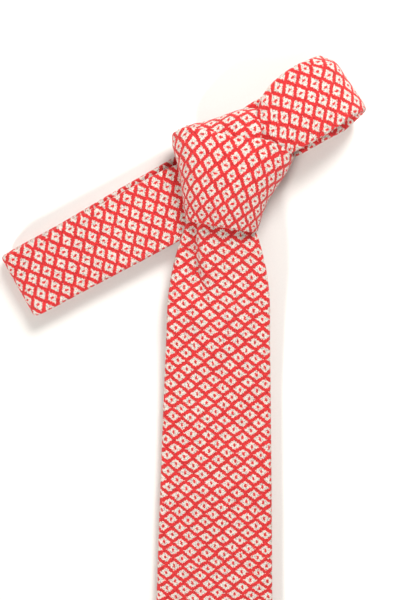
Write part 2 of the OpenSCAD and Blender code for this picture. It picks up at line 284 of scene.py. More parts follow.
def slab(name, surface, v, t, material):
    """A thin closed sheet that follows surface at the across values v."""
    points, normal = layers(surface, v)
    grid = np.concatenate([points + normal * t / 2, (points - normal * t / 2)[:, ::-1]], axis=1)
    rows, cols = grid.shape[0], grid.shape[1] + 1
    row_step, column_step = 2.0, 1.5
    places = np.meshgrid(np.arange(rows) * row_step, np.arange(cols) * column_step, indexing="ij")
    uv = np.stack(places, axis=2)
    piece = grid_piece(name, grid, uv, material, ring=True)
    close_ends(piece)
    return piece


def felt_strip(name, surface, half, t, edge=2.2):
    """The interlining: a felt slab inside the folded cloth, stopping edge millimetres short of its edges."""
    share = np.clip(1 - edge / np.maximum(np.asarray(half, float), 3), 0.15, 1)[:, None]
    return slab(name, surface, np.linspace(-1, 1, 16)[None, :] * share, t, FELT)


def thread_piece(name, stitches, radius, material, sides=8):
    """One mesh of short round threads, each given as a list of points."""
    points, faces, uvs = [], [], []
    aside = np.array([0.13, 0.21, 0.97])      # any direction that no thread runs along
    taper = 0.12
    for stitch in stitches:
        path = np.array(stitch, float)
        along = unit(np.gradient(path, axis=0))
        side = unit(np.cross(along, aside))
        up = np.cross(side, along)
        base = len(points)
        width = radius * np.sqrt(np.sin(np.linspace(taper, math.pi - taper, len(path))))
        for p, s, u, r in zip(path, side, up, width):
            angles = np.arange(sides) * 2 * math.pi / sides
            points += [p + r * (s * math.cos(a) + u * math.sin(a)) for a in angles]
        for i in range(len(path) - 1):
            near, far = base + i * sides, base + (i + 1) * sides
            for j in range(sides):
                k = (j + 1) % sides
                faces.append([near + j, near + k, far + k, far + j])
                uvs += [(i, j), (i, j + 1), (i + 1, j + 1), (i + 1, j)]
        for ring, order in ((0, -1), (len(path) - 1, 1)):
            faces.append([base + ring * sides + j for j in range(sides)][::order])
            uvs += [(0, j) for j in range(sides)]
    return make_mesh(name, points, faces, uvs, material)


# ---------------------------------------------------------------- materials


class Nodes:
    """Short way to write a node tree: each call makes a node and returns one of its outputs."""

    def __init__(self, name):
        self.material = bpy.data.materials.new(name)
        self.material.use_nodes = True
        self.tree = self.material.node_tree
        self.shader = self.tree.nodes["Principled BSDF"]

    def put(self, kind, inputs=(), output=0, **settings):
        node = self.tree.nodes.new(kind)
        for key, value in settings.items():
            setattr(node, key, value)
        for key, value in (inputs.items() if isinstance(inputs, dict) else enumerate(inputs)):
            if isinstance(value, bpy.types.NodeSocket):
                self.tree.links.new(value, node.inputs[key])
            else:
                node.inputs[key].default_value = value
        return node.outputs[output]

    def maths(self, operation, *inputs):
        return self.put("ShaderNodeMath", inputs, operation=operation)

    def noise(self, place, scale, detail, distortion=0.0):
        inputs = {"Vector": place, "Scale": scale, "Detail": detail, "Distortion": distortion}
        return self.put("ShaderNodeTexNoise", inputs)

    def mix(self, share, a, b, blend="MIX"):
        """The colours a and b mixed; 0, 6 and 7 are the node's factor and its two colour inputs."""
        return self.put("ShaderNodeMix", {0: share, 6: a, 7: b}, output=2, data_type="RGBA", blend_type=blend)

    def cloth_place(self):
        """Where a point is on its cloth, in metres: the vector, then its distance along and across."""
        place = self.put("ShaderNodeUVMap", uv_map="cloth")
        split = self.put("ShaderNodeSeparateXYZ", (place,)).node.outputs
        return place, split[0], split[1]

    def object_place(self):
        return self.put("ShaderNodeTexCoord", output="Object")

    def bump(self, height, distance, strength=1.0):
        return self.put("ShaderNodeBump", {"Height": height, "Distance": distance, "Strength": strength})

    def finish(self, colour, normal, **sockets):
        self.tree.links.new(colour, self.shader.inputs["Base Color"])
        self.tree.links.new(normal, self.shader.inputs["Normal"])
        for key, value in sockets.items():
            self.shader.inputs[key.replace("_", " ")].default_value = value
        return self.material


def rgb(r, g, b):
    return (r, g, b, 1.0)


BIAS_GIVE = -0.16           # how far the blade's cloth has been pulled off square
LATTICE_ALONG = 8.85 * MM   # pitch of the diamonds along a strip
LATTICE_ACROSS = 9.2 * MM   # and across it
YARNS = 16.0                # yarns in one square of the check
SWAY = 0.10                 # how far the pattern wanders, in squares
FRAY = 0.085                # how unevenly single yarns end, in squares
STRIPE_FROM = 0.338         # where the stripes begin, in squares from the middle of one
DRAWN = 0.06                # how much thicker they are at the diamonds' long corners
DOT_REACH = 0.145           # where the dot ends, in squares from the middle
DOT_LENGTH = 0.62           # below 1 draws the dot out along the strip


def lattice_cotton():
    """Yarn-dyed cotton cut on the bias: a red check on off-white, turned into diamonds, each with a dot."""
    n = Nodes("red_lattice_cotton")
    place, along, across = n.cloth_place()
    wander = n.noise(place, 90.0, 2.0)
    sway = n.maths("MULTIPLY", n.maths("SUBTRACT", wander, 0.5), SWAY)
    a = n.maths("DIVIDE", along, LATTICE_ALONG)
    b = n.maths("DIVIDE", across, LATTICE_ACROSS)
    warp = n.maths("ADD", n.maths("ADD", a, b), sway)
    weft = n.maths("SUBTRACT", n.maths("SUBTRACT", a, b), sway)
    end = n.maths("MULTIPLY", warp, YARNS)
    pick = n.maths("MULTIPLY", weft, YARNS)
    end_no, pick_no = n.maths("FLOOR", end), n.maths("FLOOR", pick)

    # the pattern is decided yarn by yarn, which leaves its edges stepped
    cell_a = n.maths("FRACT", n.maths("DIVIDE", n.maths("ADD", end_no, 0.5), YARNS))
    cell_b = n.maths("FRACT", n.maths("DIVIDE", n.maths("ADD", pick_no, 0.5), YARNS))
    from_a = n.maths("ABSOLUTE", n.maths("SUBTRACT", cell_a, 0.5))
    from_b = n.maths("ABSOLUTE", n.maths("SUBTRACT", cell_b, 0.5))
    yarn = n.put("ShaderNodeCombineXYZ", (end_no, pick_no, 0.0))
    chance = n.put("ShaderNodeTexWhiteNoise", {"Vector": yarn})
    ragged = n.maths("MULTIPLY", n.maths("SUBTRACT", chance, 0.5), FRAY)
    both = n.maths("ABSOLUTE", n.maths("SUBTRACT", n.maths("ADD", cell_a, cell_b), 1.0))
    differ = n.maths("ABSOLUTE", n.maths("SUBTRACT", cell_a, cell_b))
    drawn = n.maths("MULTIPLY", n.maths("SUBTRACT", both, differ), DRAWN)
    reach = n.maths("ADD", n.maths("ADD", n.maths("MAXIMUM", from_a, from_b), drawn), ragged)
    stripe = n.maths("GREATER_THAN", reach, STRIPE_FROM)
    off_middle = n.maths("ADD", n.maths("SUBTRACT", cell_a, 0.5), n.maths("SUBTRACT", cell_b, 0.5))
    long_way = n.maths("MULTIPLY", off_middle, DOT_LENGTH)
    short_way = n.maths("SUBTRACT", cell_a, cell_b)
    squares = n.maths("ADD", n.maths("POWER", long_way, 2.0), n.maths("POWER", short_way, 2.0))
    spread = n.maths("SQRT", squares)
    dot = n.maths("LESS_THAN", n.maths("ADD", spread, ragged), DOT_REACH)
    # stray red floats, thicker round the dots
    stray = n.maths("GREATER_THAN", chance, n.maths("ADD", 0.80, n.maths("MULTIPLY", spread, 0.40)))
    red_here = n.maths("MAXIMUM", n.maths("MAXIMUM", stripe, dot), n.maths("MULTIPLY", stray, 0.5))

    # over and under: alternate crossings lift the warp or the weft
    odd = n.maths("PINGPONG", n.maths("ADD", end_no, pick_no), 1.0)
    crown_a = n.maths("ABSOLUTE", n.maths("SINE", n.maths("MULTIPLY", end, math.pi)))
    crown_b = n.maths("ABSOLUTE", n.maths("SINE", n.maths("MULTIPLY", pick, math.pi)))
    over = n.maths("MULTIPLY", crown_a, n.maths("SUBTRACT", 1.0, n.maths("MULTIPLY", odd, 0.45)))
    under = n.maths("MULTIPLY", crown_b, n.maths("ADD", 0.55, n.maths("MULTIPLY", odd, 0.45)))
    height = n.maths("MULTIPLY", over, under)
    fibre = n.noise(place, 5200.0, 2.0)
    relief = n.maths("ADD", height, n.maths("MULTIPLY", fibre, 0.35))

    faded = n.noise(place, 28.0, 3.0)
    red = n.mix(faded, rgb(0.86, 0.029, 0.034), rgb(0.95, 0.050, 0.052))
    white = n.mix(faded, rgb(0.91, 0.81, 0.73), rgb(0.98, 0.91, 0.84))
    base = n.mix(red_here, white, red)
    # painted shade: the gaps between yarns are painted darker than their crowns, as the shade that falls in
    # them, and random crossings are painted darker too, partly as uneven yarn tone and partly as painted
    # shade, as if they lay deeper than others
    gap_shade = n.maths("ADD", 0.66, n.maths("MULTIPLY", n.maths("POWER", height, 0.5), 0.40))
    crossing = n.put("ShaderNodeCombineXYZ", (pick_no, end_no, 7.0))
    shadowed = n.put("ShaderNodeTexWhiteNoise", {"Vector": crossing})
    crossing_tone_and_shade = n.maths("MULTIPLY", n.maths("POWER", shadowed, 2.5), 0.58)
    yarn_tone_and_shade = n.maths("MULTIPLY", gap_shade, n.maths("SUBTRACT", 1.0, crossing_tone_and_shade))
    # the painted yarn shade, with some uneven yarn tone, multiplies the cloth's colour
    colour = n.mix(1.0, base, n.put("ShaderNodeCombineColor", (yarn_tone_and_shade, yarn_tone_and_shade, yarn_tone_and_shade)), "MULTIPLY")
    return n.finish(colour, n.bump(relief, 0.00022, 0.8), Roughness=0.86, Sheen_Weight=0.12,
                    Sheen_Roughness=0.45, Specular_IOR_Level=0.25)


def plain_cloth(name, dark, light, yarns_per_mm):
    """Plain weave in one colour: lining, label tape."""
    n = Nodes(name)
    place, along, across = n.cloth_place()
    rate = math.pi * yarns_per_mm / MM
    a = n.maths("SINE", n.maths("MULTIPLY", along, rate))
    b = n.maths("SINE", n.maths("MULTIPLY", across, rate))
    weave = n.maths("ADD", n.maths("MULTIPLY", n.maths("MULTIPLY", a, b), 0.5), 0.5)
    cloudy = n.noise(place, 60.0, 3.0)
    share = n.maths("ADD", n.maths("MULTIPLY", weave, 0.6), n.maths("MULTIPLY", cloudy, 0.4))
    return n.finish(n.mix(share, dark, light), n.bump(weave, 0.00012, 0.7), Roughness=0.8, Sheen_Weight=0.08,
                    Specular_IOR_Level=0.3)


def wool_felt():
    n = Nodes("interlining_felt")
    where = n.object_place()
    hairs = n.noise(where, 2600.0, 4.0, 1.5)
    cloudy = n.noise(where, 160.0, 3.0)
    share = n.maths("MULTIPLY", n.maths("ADD", hairs, cloudy), 0.5)
    base = n.mix(share, rgb(0.72, 0.68, 0.60), rgb(0.92, 0.90, 0.84))
    return n.finish(base, n.bump(hairs, 0.0003, 0.7), Roughness=0.95, Sheen_Weight=0.2,
                    Specular_IOR_Level=0.2)


def spun_thread(name, dark, light):
    n = Nodes(name)
    inputs = {"Vector": n.object_place(), "Scale": 900.0, "Distortion": 2.0, "Detail": 1.0}
    twist = n.put("ShaderNodeTexWave", inputs, bands_direction="DIAGONAL")
    return n.finish(n.mix(twist, dark, light), n.bump(twist, 0.0001, 0.6), Roughness=0.6, Sheen_Weight=0.1,
                    Specular_IOR_Level=0.4)


def backdrop_paper():
    n = Nodes("backdrop_paper")
    tooth = n.noise(n.object_place(), 900.0, 2.0)
    base = n.mix(tooth, rgb(0.84, 0.83, 0.81), rgb(0.88, 0.87, 0.85))
    return n.finish(base, n.bump(tooth, 0.00005, 0.2), Roughness=0.9, Specular_IOR_Level=0.1)


COTTON = lattice_cotton()
FELT = wool_felt()
LINING = plain_cloth("tip_lining_cotton", rgb(0.62, 0.55, 0.47), rgb(0.86, 0.80, 0.72), 3.0)
TAPE = plain_cloth("label_tape", rgb(0.80, 0.79, 0.76), rgb(0.95, 0.945, 0.93), 4.0)
THREAD = spun_thread("slip_stitch_thread", rgb(0.72, 0.66, 0.58), rgb(0.93, 0.90, 0.84))
TACK = spun_thread("bar_tack_thread", rgb(0.50, 0.02, 0.03), rgb(0.80, 0.08, 0.09))

# ---------------------------------------------------------------- blade and tail


def axis_x(y):
    """The middle line of the blade and the tail, which leans a little to the left on its way down."""
    return -4.4 + 0.0115 * np.asarray(y, float)


def stations(start, stop, step):
    return np.linspace(start, stop, max(3, int(abs(stop - start) / step) + 1))


def pointed(y, tip, shoulder, body_half, full):
    """Half width of a strip with a point: straight edges that meet at the tip."""
    return np.where(y < shoulder, full * np.clip((y - tip) / (shoulder - tip), 0, 1), body_half(y))


def flap_gap(ys, tack, shoulder, half, hem):
    """How far the folded edges stand apart at the back: closed above the bar tack, a V below it."""
    spread = np.maximum(half - hem, SEAM)
    return SEAM + (spread - SEAM) * np.clip((tack - ys) / (tack - shoulder), 0, 1)


# the blade against y: half its width, the height of its top, how far its two edges fall below its middle,
# how much of that the neck loop holds up on the left, and where its one pleat lies and how deep it is
blade_body = curve([0, -20, -33, -41, -50, -66, -90, -123, -233, SHOULDER_Y],
                   [12, 14.8, 18.6, 21.2, 23.6, 26.2, 27.2, 28.4, 31.5, BLADE_W / 2])
blade_top = curve([-14, -24, -33, -50, -68, -92, -121, -150], [22.8, 22.2, 21.0, 17.6, 14.0, 10.6, 8.3, 7.8])
blade_arch = curve([-14, -33, -48, -66, -95, -140], [8, 7.4, 4.8, 2.0, 0.7, 0.35])
blade_rest = curve([-14, -30, -44, -58], [0.75, 0.75, 0.45, 0.0])
pleat_at = curve([-20, -33, -48, -64, -90], [-0.52, -0.44, -0.30, -0.14, 0.0])
pleat_deep = curve([-20, -33, -46, -58, -72, -92], [3.2, 4.2, 5.6, 3.8, 1.4, 0.0])
MIN_HALF = 0.4            # half width left at a point's very tip


def blade_half(y):
    return np.maximum(pointed(y, TIP_Y, SHOULDER_Y, blade_body, BLADE_W / 2), MIN_HALF)


def blade_room(half):
    """Room inside the blade, which thins towards its point."""
    return np.minimum(BLADE_T, 1.3 + half * 0.35)


def blade_surface(ys):
    """Middle of the folded blade. It arches where it enters the knot, with one soft pleat left of centre."""
    ys = np.asarray(ys, float)[:, None]
    droop = np.clip((CLEAR_Y - ys) / (CLEAR_Y - TIP_Y), 0, 1) * (BLADE_LOW - 0.3)
    half = blade_half(ys)

    def at(v):
        # the left side rests on the neck loop where it leaves the knot, so it falls away less there
        rests = blade_rest(ys) * smooth(-v, 0.1, 0.8)
        z = blade_top(ys) - BLADE_T / 2 - droop - blade_arch(ys) * (1 - rests) * np.abs(v) ** 2.6
        left = pleat_at(ys) - v
        z = z - pleat_deep(ys) * (smooth(left, -0.02, 0.17) - 0.5 * smooth(left, 0.16, 0.62))
        z = z + 0.25 * ripple(v * half, ys, 5, 42) * smooth(-ys, 34, 70) * smooth(ys, TIP_Y, TIP_Y + 30)
        return np.stack([axis_x(ys) + v * half, ys + 0 * v, z + 0 * v], axis=2)

    return at


# the tail against y: half its width, and the height of its underside
tail_body = curve([TAIL_TOP_Y, -20, -33, -60, -85, TAIL_SHOULDER_Y], [8.8, 8.8, 9.8, 15.5, 18, TAIL_W / 2])
tail_low = curve([TAIL_TOP_Y, -22, -34, -58, -84], [5.5, 5.4, 4.3, 1.2, 0.02])


def tail_half(y):
    return np.maximum(pointed(y, TAIL_TIP_Y, TAIL_SHOULDER_Y, tail_body, TAIL_W / 2), MIN_HALF)


def tail_room(half):
    return np.minimum(TAIL_T, 1.2 + half * 0.3)


def tail_surface(ys):
    ys = np.asarray(ys, float)[:, None]

    def at(v):
        z = tail_low(ys) + TAIL_T / 2 + CLOTH_T + 0 * v
        return np.stack([axis_x(ys) + v * tail_half(ys), ys + 0 * v, z], axis=2)

    return at


def axis_path(ys):
    return [(0, y, 0) for y in ys]


def seam_threads(name, surface, t, out, rows):
    """Slip stitches: short slanting threads that bow out across the back seam at the given rows."""
    middle = np.zeros((1, 1))
    points, normal = layers(surface, middle)
    across = unit(surface(middle + NUDGE) - surface(middle - NUDGE))
    along = unit(np.gradient(points, axis=0))
    back, outwards = points - normal * out * t / 2, -normal * out
    bow = np.linspace(-1, 1, 9)
    reach, slant, lift, dip = 2.0, 0.9, 0.22, 0.3
    made = [[back[i, 0] + across[i, 0] * reach * b + along[i, 0] * slant * b
             + outwards[i, 0] * (lift - dip * b * b) for b in bow] for i in rows]
    piece = thread_piece(name, made, 0.2, THREAD)
    return piece


def bar_tack(name, place, length, turns, wide):
    """A row of satin stitches side by side, round a straight core."""
    made = []
    lean, sag = 0.12, 0.3
    for k in range(turns):
        x = place[0] + (k / (turns - 1) - 0.5) * length
        bow = np.linspace(-1, 1, 7)
        made.append([(x + lean * b, place[1] + wide * b, place[2] - sag * (1 - b * b)) for b in bow])
    core = [(place[0] + length * b, place[1], place[2]) for b in np.linspace(-0.5, 0.5, 7)]
    piece = thread_piece(name, made + [core], 0.17, TACK)
    return piece


def tip_lining(name, surface, half, t, node):
    """The plain lining that shows in the V between the back flaps."""
    margin, sunk, lining_t = 3.0, 0.25, 0.2
    share = np.clip(1 - margin / half, 0.1, 1)[:, None]
    points, normal = layers(surface, np.linspace(-1, 1, 24)[None, :] * share)
    grid = points + normal * (t / 2 - sunk)[:, None, None]
    uv = np.stack([grid[..., 1], grid[..., 0]], axis=2)
    uv = np.concatenate([uv, uv[:, -1:]], axis=1)
    piece = thicken(grid_piece(name, grid, uv, LINING), lining_t)
    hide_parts(node)
    return piece


REVERSED = -1             # the out value of a strip whose surface normal points to its back
STITCH_PITCH = 14
BLADE_LAY = {"front": 64, "out": REVERSED, "turn": -4.0, "scale": (1.01, 1.0), "skew": BIAS_GIVE}

upper_rows = stations(-20, SPLIT_Y, 1.6)
upper_half = blade_half(upper_rows)
blade_upper = folded_strip("blade_upper_cloth", blade_surface(upper_rows), upper_half, BLADE_T, SEAM,
                           **BLADE_LAY)
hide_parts("blade_upper_shell")
declare_cut(axis_path(upper_rows), upper_half, SEAM)
felt_rows = stations(-22, SPLIT_Y + 1, 3.0)
blade_felt = felt_strip("blade_upper_felt", blade_surface(felt_rows), blade_half(felt_rows), BLADE_FELT_T)
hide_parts("blade_upper_interlining")

lower_rows = np.concatenate([stations(SPLIT_Y, SHOULDER_Y + 3, 1.8),
                             stations(SHOULDER_Y + 2, TIP_Y + 0.4, 0.9)])
lower_half = blade_half(lower_rows)
lower_gap = flap_gap(lower_rows, TACK_Y, SHOULDER_Y, lower_half, hem=14)
blade_lower = folded_strip("blade_lower_cloth", blade_surface(lower_rows), lower_half, blade_room(lower_half),
                           lower_gap, **BLADE_LAY)
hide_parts("blade_lower_shell")
declare_cut(axis_path(lower_rows), lower_half, lower_gap)
felt_rows = stations(SPLIT_Y - 1, TIP_Y + 14, 3.0)
lower_felt = felt_strip("blade_lower_felt", blade_surface(felt_rows), blade_half(felt_rows), TIP_FELT_T,
                        edge=4.0)
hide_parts("blade_lower_interlining")
tip_rows = stations(TACK_Y - 1, TIP_Y + 5, 1.5)
tip_half = blade_half(tip_rows)
blade_tip = tip_lining("blade_tip_lining_cloth", blade_surface(tip_rows), tip_half, blade_room(tip_half),
                       "blade_tip_lining")

tail_rows = np.concatenate([stations(TAIL_TOP_Y, TAIL_SHOULDER_Y + 3, 2.2),
                            stations(TAIL_SHOULDER_Y + 2, TAIL_TIP_Y + 0.4, 0.9)])
tail_halves = tail_half(tail_rows)
tail_gap = flap_gap(tail_rows, TAIL_TACK_Y, TAIL_SHOULDER_Y, tail_halves, hem=11)
tail = folded_strip("tail_cloth", tail_surface(tail_rows), tail_halves, tail_room(tail_halves), tail_gap,
                    front=32, out=REVERSED)
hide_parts("tail_shell")
declare_cut(axis_path(tail_rows), tail_halves, tail_gap)
felt_rows = stations(TAIL_TOP_Y - 1, TAIL_TIP_Y + 12, 3.0)
tail_felt = felt_strip("tail_felt", tail_surface(felt_rows), tail_half(felt_rows), TAIL_FELT_T, edge=3.5)
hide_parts("tail_interlining")
tip_rows = stations(TAIL_TACK_Y - 1, TAIL_TIP_Y + 4, 1.5)
tip_half = tail_half(tip_rows)
tail_tip = tip_lining("tail_tip_lining_cloth", tail_surface(tip_rows), tip_half, tail_room(tip_half),
                      "tail_tip_lining")


def back_seam(strip, surface_of, t, start, stop):
    """The slip stitches of the blade's or the tail's back seam, from start to stop."""
    rows = stations(start, stop, STITCH_PITCH)
    piece = seam_threads(f"{strip}_stitches", surface_of(rows), t, REVERSED, range(len(rows)))
    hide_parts(f"{strip}_slip_stitch")
    return piece


upper_stitch = back_seam("blade_upper", blade_surface, BLADE_T, -130, KEEPER_Y + 10)
lower_stitch = back_seam("blade_lower", blade_surface, BLADE_T, FOLD_Y - 22, TACK_Y + 8)
tail_stitch = back_seam("tail", tail_surface, TAIL_T - 0.9, -104, TAIL_TACK_Y + 8)
blade_tack = bar_tack("blade_tack_threads", (float(axis_x(TACK_Y)), TACK_Y, BLADE_LOW - 0.05),
                      length=7.5, turns=17, wide=0.9)
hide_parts("blade_bar_tack")
tail_tack = bar_tack("tail_tack_threads", (float(axis_x(TAIL_TACK_Y)), TAIL_TACK_Y, 0.62),
                     length=4.5, turns=11, wide=0.8)
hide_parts("tail_bar_tack")

# ---------------------------------------------------------------- keeper loop and labels

CROSS_ROWS = 30           # rows of a strip that runs from side to side


def across_blade(node, height):
    """A strip that runs from side to side under the blade, over a CAD node's own box."""
    low, high = corner(node, X, 0), corner(node, X, 1)
    middle, half = midway(node, Y), extent(node, Y) / 2
    xs = np.linspace(low, high, CROSS_ROWS)[:, None]
    lift = smooth(np.abs(xs - (low + high) / 2), (high - low) / 2 - 4, (high - low) / 2)

    def at(v):
        return np.stack([xs + 0 * v, middle + half * v, height(lift) + 0 * v], axis=2)

    return at, np.full(CROSS_ROWS, half), [(x, 0, 0) for x in xs[:, 0]]


keeper_surface, keeper_half, keeper_path = across_blade("keeper_loop", lambda lift: 3.62 + 0.42 * lift)
keeper = folded_strip("keeper_loop_cloth", keeper_surface, keeper_half, KEEPER_T, SEAM, front=20)
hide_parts("keeper_loop")
declare_cut(keeper_path, keeper_half, SEAM)


def blade_back_z(x, y):
    """Height of the outside of the blade's back cloth."""
    x, y = np.broadcast_arrays(x, y)
    v = (x - axis_x(y)) / blade_half(y)
    middle = blade_surface(y.ravel())(v.reshape(-1, 1))[:, 0, Z]
    return middle.reshape(x.shape) - BLADE_T / 2 - CLOTH_T


def woven_label(name, node):
    """Blank woven tape that lies against the blade's back, caught down with stitches along each end."""
    flat_strip, half, path = across_blade(node, lambda lift: 0 * lift)
    tape_t, tape_drop = 0.35, 0.2
    margin, end_margin, pitch, stitch, stitch_drop, dip = 1.2, 1.6, 1.7, 1.1, 0.4, 0.12

    def surface(v):
        points = flat_strip(v)
        points[..., Z] = blade_back_z(points[..., X], points[..., Y]) - tape_drop
        return points

    share = np.linspace(-1, 1, 24)[None, :] + np.zeros((CROSS_ROWS, 1))
    piece = slab(name, surface, share, tape_t, TAPE)
    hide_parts(node)
    left, right = path[0][0], path[-1][0]
    ends = []
    for side in (-1, 1):
        y = midway(node, Y) + side * (half[0] - end_margin)
        for x in np.arange(left + margin, right - margin, pitch):
            z = float(blade_back_z(x, y)) - stitch_drop
            bow = np.linspace(0, 1, 5)
            ends.append([(x + stitch * b, y, z - dip * math.cos(b * math.pi)) for b in bow])
    sewing = thread_piece(name + "_sewing", ends, 0.11, THREAD)
    return piece, sewing


label, label_sewing = woven_label("blank_label_tape", "blank_label")
care, care_sewing = woven_label("care_label_tape", "care_label")

# ---------------------------------------------------------------- neck loop


def band_frame(angle, turned_round):
    """Directions along and across a band of the loop; turned_round turns the first one the other way."""
    along = np.array([math.cos(angle), math.sin(angle), 0]) * (-1 if turned_round else 1)
    across = np.array([-math.sin(angle), math.cos(angle), 0])
    return along, across


def smooth_path(points, step):
    """A rounded path through a few points, with rows about a step apart: columns as given."""
    points = np.array(points, float)
    gaps = np.linalg.norm(np.diff(points[:, [0, 2]], axis=0), axis=1)
    run = np.concatenate([[0], np.cumsum(gaps)])
    at = np.linspace(0, run[-1], int(run[-1] / step) + 1)
    return np.stack([curve(run, points[:, k])(at) for k in range(points.shape[1])], axis=1)


def band_surface(path, along, across, pull_from=None):
    """A surface on path rows of distance along, sideways offset, height, half width, arch and crown.

    pull_from is where the far fold begins to be drawn in at its two corners.
    """
    path = np.asarray(path)
    pull_over, pull_high, pull_low = 20, 4.6, 0.2

    def at(v):
        out, side, z, half, arch, crown = (path[:, k, None] + 0 * v for k in range(6))
        if pull_from is not None:
            share = smooth(out, pull_from, pull_from + pull_over)
            out = out - share * (pull_high * smooth(v, 0.5, 1.05) + pull_low * smooth(-v, 0.6, 1.05))
        side = side + v * half
        z = z - arch * np.abs(v) ** 2.4 + crown * (1 - v * v) + 0.2 * ripple(side, out, 9, 38)
        return out[..., None] * along + side[..., None] * across + z[..., None] * np.array([0, 0, 1.0])

    return at


LEFT_ALONG, LEFT_ACROSS = band_frame(LEFT_ANGLE, True)
RIGHT_ALONG, RIGHT_ACROSS = band_frame(RIGHT_ANGLE, False)
HALF = NECK_W / 2
UNDER_Z = NECK_T / 2 + 0.85
FOLD_STEPS = 12


def round_fold(reach, radius):
    """Points round a fold from the upper layer to the lower one: distance along and height."""
    turns = np.linspace(math.pi / 2, -math.pi / 2, FOLD_STEPS + 1)
    r = radius - NECK_T / 2
    return [(reach - radius + r * math.cos(a), UNDER_Z + r + r * math.sin(a)) for a in turns]


# each half of the loop: the upper layer out from the knot, round the far fold, and the lower layer back
left_fold = round_fold(127.6, 5.8)
left_path = [(20, -2.8, 11.4, 16.5, 0.8, 0.4), (32, -2.8, 11.3, HALF, 0.3, 0.4),
             (60, -2.8, 11.1, HALF, 0.2, 0.4), (95, -2.6, 10.8, HALF, 0.2, 0.4)]
left_path += [(s, -2.5 + 0.8 * k / FOLD_STEPS, z, HALF, 0.1, 0) for k, (s, z) in enumerate(left_fold)]
left_path += [(95, -1.6, UNDER_Z, HALF, 0, 0), (60, -0.3, UNDER_Z, HALF, 0, 0),
              (30, 0.4, UNDER_Z, HALF, 0, 0), (-8, 1.6, UNDER_Z, HALF, 0, 0)]
left_rows = smooth_path(left_path, 1.5)

right_fold = round_fold(74.6, 13.0)
right_path = [(16, 1.2, 24.0, 12.0, 6.5, 0.6), (23, 1.4, 25.2, 12.2, 6.0, 0.6),
              (29, 2.4, 26.8, 13.6, 4.8, 0.6), (36, 4.2, 27.4, 16.3, 3.2, 0.6),
              (46, 4.7, 27.0, 17.9, 1.8, 0.5), (57, 4.3, 26.0, 18.1, 0.9, 0.3)]
right_path += [(s, 4.1 - 4.6 * k / FOLD_STEPS, z, HALF, 0.3, 0) for k, (s, z) in enumerate(right_fold)]
right_path += [(54, 0.5, 2.8, HALF, 0, 0), (40, 2.0, UNDER_Z, HALF, 0, 0),
               (26, 3.2, UNDER_Z, HALF, 0, 0), (9, 2.2, UNDER_Z, HALF, 0, 0)]
right_rows = smooth_path(right_path, 1.3)


def loop_half(side, rows, along, across, out, shells, felts, stitch_rows, pull_from=None, **lay):
    """One half of the neck loop: cloth, felt and slip stitches on the same folded-back path."""
    surface = band_surface(rows, along, across, pull_from)
    cloth = folded_strip(f"neck_{side}_cloth", surface, rows[:, 3], NECK_T, SEAM, out=out, **lay)
    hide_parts(*shells)
    declare_cut(rows[:, [0, 1, 2]], rows[:, 3], SEAM)
    felt = felt_strip(f"neck_{side}_felt", surface, rows[:, 3], NECK_FELT_T)
    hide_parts(*felts)
    threads = seam_threads(f"neck_{side}_stitches", surface, NECK_T, out, stitch_rows)
    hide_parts(f"neck_{side}_slip_stitch")
    return cloth, felt, threads


# rows with a stitch: clear of the knot, and of the far fold, which lies between the two layers
CLEAR_OF_KNOT = 44
LEFT_FOLD_Z, RIGHT_FOLD_FROM = 6.2, 58
left_stitches = [i for i in range(0, len(left_rows), 9)
                 if left_rows[i, 0] > CLEAR_OF_KNOT and abs(left_rows[i, 2] - LEFT_FOLD_Z) > 4]
right_stitches = [i for i in range(0, len(right_rows), 7)
                  if CLEAR_OF_KNOT < right_rows[i, 0] < RIGHT_FOLD_FROM]
left_cloth, left_felt, left_stitch = loop_half(
    "left", left_rows, LEFT_ALONG, LEFT_ACROSS, 1, ["neck_left_shell", "neck_centre_shell"],
    ["neck_left_interlining", "neck_centre_interlining"], left_stitches, front=40, scale=(0.96, 0.98))
right_cloth, right_felt, right_stitch = loop_half(
    "right", right_rows, RIGHT_ALONG, RIGHT_ACROSS, REVERSED, ["neck_right_shell"],
    ["neck_right_interlining"], right_stitches, pull_from=52, front=48, turn=-1.0, scale=(0.96, 0.96),
    skew=BIAS_GIVE)

# ---------------------------------------------------------------- knot

# the front wrap's left edge, right edge, height and bulge over the top, by share of the way down or across
wrap_left_x = curve([0, 0.14, 0.33, 0.67, 1], [-27.4, -27.2, -24.7, -22.6, -20.6])
wrap_left_y = curve([0, 0.14, 0.33, 0.67, 1], [17.9, 11.6, 2.5, -11.0, -26.2])
wrap_right_x = curve([0, 0.2, 0.4, 0.6, 0.8, 1], [31.6, 27.8, 22.8, 18.4, 15.2, 12.8])
wrap_right_y = curve([0, 0.2, 0.4, 0.6, 0.8, 1], [7.0, -1.2, -8.6, -15.6, -23.8, -32.2])
wrap_height = curve([0, 0.25, 0.55, 0.8, 1], [30.2, 33.0, 32.6, 29.6, 24.6])
wrap_top_bulge = curve([0, 0.06, 0.14, 0.3, 0.5, 0.7, 0.85, 1], [0, 2.4, 3.4, 3.0, 2.4, 4.0, 3.4, 0])
WRAP_LOW = 4.9
KNOT_MIDDLE_Z = 15.5


def wrap_surface(turns):
    """The pass across the front: over the knot from left to right, and round both sides to the back."""
    turn = np.asarray(turns)[:, None]

    def at(v):
        down = (v + 1) / 2
        middle_z = KNOT_MIDDLE_Z - down
        x0, x1 = wrap_left_x(down), wrap_right_x(down)
        y0, y1 = wrap_left_y(down), wrap_right_y(down)
        s, c = np.sin(turn), np.cos(turn)
        wide = np.sign(s) * np.abs(s) ** 0.86
        tall = np.sign(c) * np.abs(c) ** 0.80
        share = (wide + 1) / 2
        crest = smooth(c, -0.1, 0.5)
        z = middle_z + np.where(c > 0, wrap_height(down) - middle_z, middle_z - WRAP_LOW) * tall
        x = x0 + (x1 - x0) * share
        y = y0 + (y1 - y0) * share + crest * (1 - down) ** 2 * wrap_top_bulge(share)
        z = z + 0.35 * ripple(x, y, 3, 26) * crest
        return np.stack([x, y, z], axis=2)

    return at


